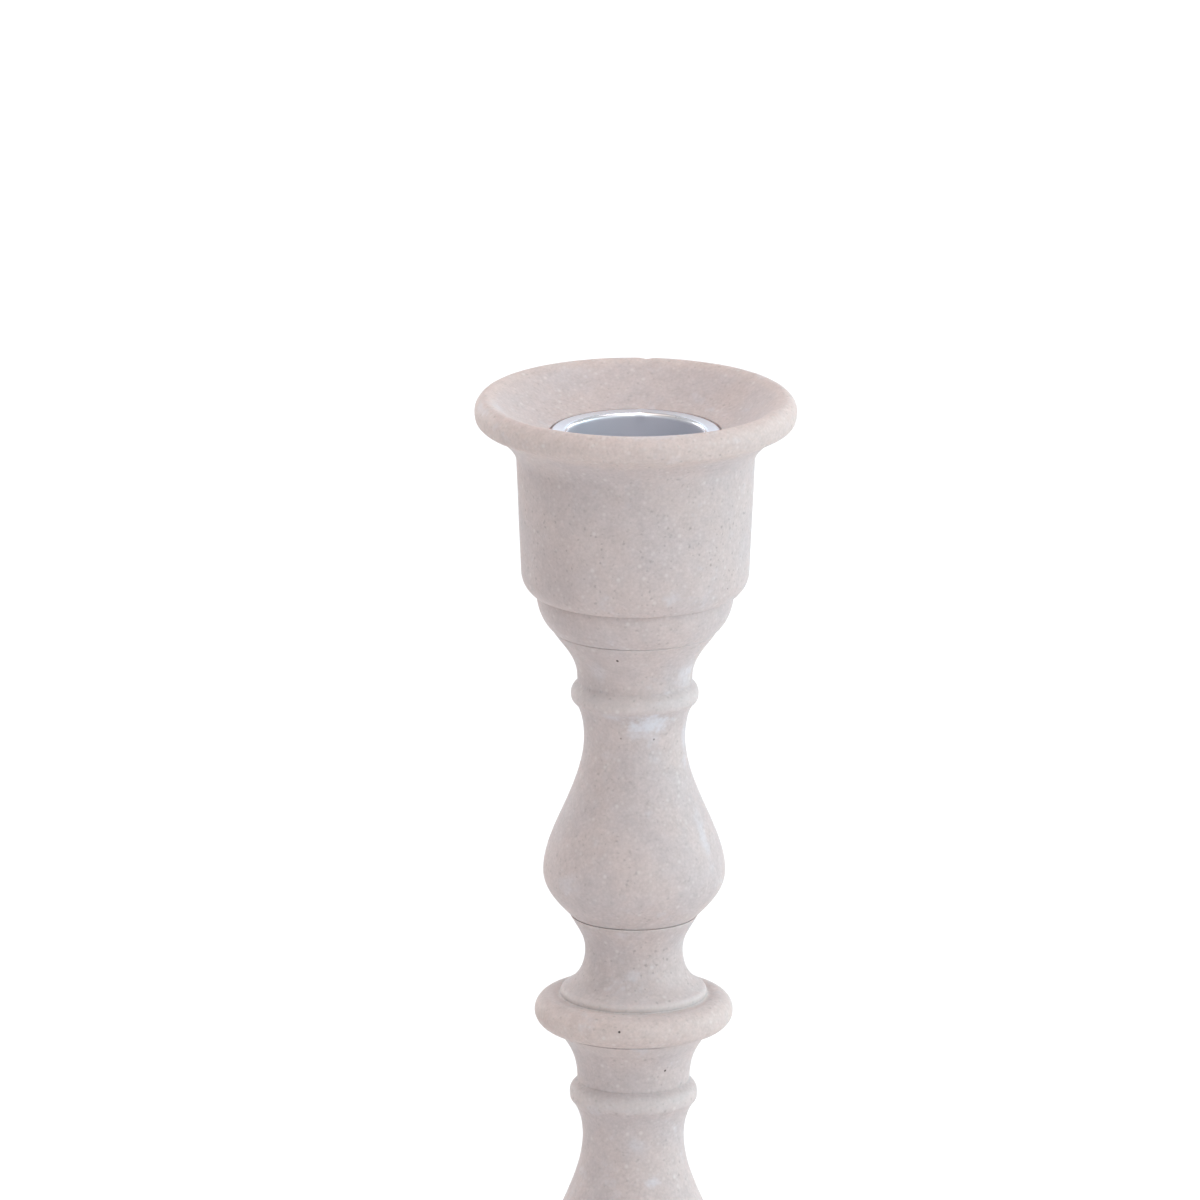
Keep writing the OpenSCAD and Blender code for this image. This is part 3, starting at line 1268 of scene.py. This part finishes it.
@dataclass
class FeltPad(Piece):
    """Felt disc glued under the foot."""

    fray: float = 0.35

    def outline(self) -> Outline:
        """Across the sole, round a soft edge and back.

        Returns:
            The outline.
        """
        path = Outline((0.0, 0.0), 0.25).line((self.span.radius - self.fray, 0.0))
        path.curve((0.25, 0.0), (0.0, -0.25), (self.span.radius, self.fray))
        path.run((self.span.radius, self.span.height - self.fray))
        path.curve((0.0, 0.25), (0.25, 0.0), (self.span.radius - self.fray, self.span.height))
        return path.line((0.0, self.span.height))


@dataclass(frozen=True)
class Hardware:
    """The rod, nuts and washers, which keep their CAD shapes and take a plated finish."""

    finish: bpy.types.Material
    nodes: tuple[str, ...] = ("tie_rod", "top_washer", "top_nut", "base_washer", "base_nut")

    def dress(self) -> None:
        """Puts the finish in every slot of every node."""
        for name in self.nodes:
            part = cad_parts[name]
            if not part.material_slots:
                part.data.materials.append(self.finish)
            for place in part.material_slots:
                place.material = self.finish
            log.info("%s: plated", name)


# ---- studio


@dataclass(frozen=True)
class Softbox:
    """A rectangular area light, at angles in degrees from the front and from the horizon."""

    name: str
    azimuth: float
    elevation: float
    power: float
    colour: Triple = (1.0, 1.0, 1.0)
    wide: float = 1.4
    tall: float = 1.15
    distance: float = 2.2

    def hang(self, target: Vector) -> None:
        """Hangs the light.

        Args:
            target: The point that it faces.
        """
        turn, lift = math.radians(self.azimuth), math.radians(self.elevation)
        flat = math.cos(lift)
        back = Vector((math.sin(turn) * flat, -math.cos(turn) * flat, math.sin(lift)))
        lamp = bpy.data.lights.new(self.name, "AREA")
        lamp.shape, lamp.size, lamp.size_y = "RECTANGLE", self.wide, self.tall
        lamp.energy, lamp.color = self.power, self.colour
        light = add_object(self.name, lamp)
        light.visible_camera = False
        light.location = target + back * self.distance
        light.rotation_mode = "QUATERNION"
        light.rotation_quaternion = (-back).to_track_quat("-Z", "Y")


@dataclass(frozen=True)
class Studio:
    """Pale floor, soft light and the camera, in metres and degrees.

    The camera looks past the lip's widest circle, which lies rim_drop below the top, and the
    lights face a point at a share of the height.
    """

    elevation: float = 15.26
    distance: float = 4.52
    view_width: float = 0.198
    rim_drop: float = 2.35 * MM
    aim_side: float = -0.00579
    aim_drop: float = -0.03125
    roll: float = 0.18
    sensor: float = 36.0
    view_end: float = 60.0
    ambient: float = 0.56
    lights_face: float = 0.6
    floor_half: float = 12.0
    boxes: tuple[Softbox, ...] = (
        Softbox("top_box", 0, 89, 19.0, (1.0, 0.88, 0.85), 1.8, 1.8),
        Softbox("front_box", 0, 48, 13.2, (0.905, 0.97, 1.0), 1.4, 1.4),
        Softbox("right_box", 90, 14.5, 22.3, (0.70, 0.92, 1.0)),
        Softbox("front_right_box", 45, 14.5, 8.5, (0.85, 0.965, 1.0)),
        Softbox("back_right_box", 135, 14.5, 8.6),
        Softbox("back_left_box", -135, 14.5, 13.8),
        Softbox("back_box", 180, 15.0, 4.4, (0.70, 0.85, 1.0)),
    )

    def lay_floor(self, paper: bpy.types.Material) -> None:
        """Lays the floor under the pad.

        Args:
            paper: The floor's finish.
        """
        half = self.floor_half
        mesh = bpy.data.meshes.new("floor")
        corners = [(-half, -half, 0.0), (half, -half, 0.0), (half, half, 0.0), (-half, half, 0.0)]
        mesh.from_pydata(corners, [], [(0, 1, 2, 3)])
        mesh.materials.append(paper)
        floor = add_object("floor", mesh)

    def light(self, height: float) -> None:
        """Lights the set.

        Args:
            height: The candlestick's height.
        """
        world = bpy.data.worlds.new("studio")
        world.use_nodes = True
        sky = world.node_tree.nodes["Background"]
        sky.inputs["Color"].default_value = (1.0, 1.0, 1.0, 1.0)
        sky.inputs["Strength"].default_value = self.ambient
        bpy.context.scene.world = world
        for box in self.boxes:
            box.hang(Vector((0.0, 0.0, self.lights_face * height)))

    def set_camera(self, height: float) -> None:
        """Sets the camera in front and a little above.

        Args:
            height: The candlestick's height.
        """
        rim = Vector((0.0, 0.0, height - self.rim_drop))
        lift = math.radians(self.elevation)
        back = Vector((0.0, -math.cos(lift), math.sin(lift)))
        up = Vector((0.0, math.sin(lift), math.cos(lift)))
        eye = rim + back * self.distance
        aim = rim + Vector((self.aim_side, 0.0, 0.0)) + up * self.aim_drop
        camera = add_object("camera", bpy.data.cameras.new("camera"))
        camera.data.sensor_width = self.sensor
        camera.data.lens = self.sensor * self.distance / self.view_width
        camera.data.clip_end = self.view_end
        roll = Matrix.Rotation(math.radians(self.roll), 3, "Z").to_quaternion()
        camera.location = eye
        camera.rotation_mode = "QUATERNION"
        camera.rotation_quaternion = (aim - eye).to_track_quat("-Z", "Y") @ roll
        bpy.context.scene.camera = camera

    @staticmethod
    def set_tones() -> None:
        """Keeps whites white, as on a light table."""
        view = bpy.context.scene.view_settings
        view.view_transform, view.look, view.exposure, view.gamma = "Standard", "None", 0.0, 1.0


def main() -> None:
    """Builds every piece, dresses it and sets the studio up round it."""
    logging.basicConfig(level=logging.INFO, format="%(name)s: %(message)s")
    vase_joint = Span.of("upper_baluster").base
    stone = CastStone(
        # Chalky bloom; the marks at heights 200.0 and 199.3 lie on the lip's crest and are a
        # painted highlight
        blooms_and_highlights=tuple(Mark(*row) for row in (
            (146.2, 15, 4.8, 2.4, 0.9, 0.3), (147.6, -22, 2.4, 1.1, 0.5), (144.6, 2, 2.2, 1.5, 0.5),
            (155.0, -38, 2.6, 2.6, 0.3), (154.2, 60, 3.4, 3.2, 0.5), (200.0, 6, 10.0, 0.5, 0.4),
            (199.3, -78, 6.0, 0.9, 0.4), (142.8, 75, 1.9, 4.0, 0.5), (126.4, 60, 1.8, 5.6, 0.5),
            (119.0, -48, 3.4, 2.6, 0.35), (73.6, 4, 2.6, 2.4, 0.3), (67.2, 20, 1.9, 1.2, 0.6),
        )),
        pits=tuple(Mark(*row, core=0.55) for row in (
            (158.0, -14.0, 0.28, 0.28), (95.5, -8.3, 0.25, 0.25), (86.5, 32.5, 0.25, 0.25),
            (143.5, 22.0, 0.22, 0.22, 0.6), (143.7, -15.5, 0.2, 0.2, 0.5),
        )),
        # Painted shade on the left of the cup and its seat, and on the left of the disc
        left_shade_marks=(Mark(168.0, -42.0, 8.0, 28.0, 0.16), Mark(95.0, -68.0, 6.0, 3.0, 0.26)),
        handled_zones=(Zone(197.0, 5.5, 23.2), Zone(94.6, 4.2), Zone(26.0, 4.2)),
        speckled_zones=(
            Zone(178.0, 9.0), Zone(150.3, 2.0), Zone(102.0, 6.0), Zone(80.6, 2.0), Zone(33.0, 6.0),
        ),
        # Painted light: lightening on the beads, the spool feet, under the disc and along the
        # vase's joint, where these lie in shade
        painted_light_zones=(
            Zone(149.9, 1.8, strength=0.2),
            Zone(97.7, 1.3, outer=12.2, strength=0.22),
            Zone(98.6, 1.6, strength=0.12),
            Zone(90.4, 1.2, strength=0.12),
            Zone(vase_joint, 0.3, strength=0.15),
            Zone(80.9, 1.8, strength=0.2),
        ),
        # Painted shade: a thin dark line in the crease under the disc
        crease_shade_zones=(Zone(91.6, 0.35, strength=0.5),),
    ).make()
    insert = Span.of("candle_insert")
    aluminium = SpunAluminium(top=insert.base + insert.height).make()
    felt = WoolFelt().make()
    lip_nick = Dent(height=32.9, azimuth=176.0, reach=0.8, depth=0.22)
    mouth_ding = Dent(height=18.3, azimuth=176.0, reach=0.7, depth=0.12)
    upper_spool, lower_spool = Spool("upper_spool", stone), Spool("lower_spool", stone)
    pieces: tuple[Piece, ...] = (
        CandleCup("candle_cup", stone, relief=Relief(dents=(lip_nick,))),
        CupSeat("cup_seat", stone),
        Baluster("upper_baluster", stone),
        upper_spool,
        Knop("knop", stone, spool=upper_spool),
        Baluster(
            "lower_baluster", stone, top_r=13.0, fillet=0.2, leave=49.3, drop=(3.5, 3.9),
            cove=(9.34, 40.4), under_bead_r=10.0,
        ),
        lower_spool,
        Foot("foot", stone, spool=lower_spool, lathe=Lathe(segments=360)),
        CandleInsert(
            "candle_insert", aluminium, Slot.INSERT_METAL, Body.INSERT,
            relief=Relief(swell=0.03, swell_size=5.0, ripple=0.006, dents=(mouth_ding,)),
        ),
        FeltPad(
            "felt_pad", felt, Slot.FELT,
            relief=Relief(swell=0.12, swell_size=3.0, ripple=0.1, ripple_size=0.6),
        ),
    )
    for piece in pieces:
        piece.build()
    Hardware(ZincSteel().make()).dress()
    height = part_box("candle_cup")[1].z
    studio = Studio()
    studio.lay_floor(StudioPaper().make())
    studio.light(height)
    studio.set_camera(height)
    studio.set_tones()


if __name__ == "__main__":
    main()
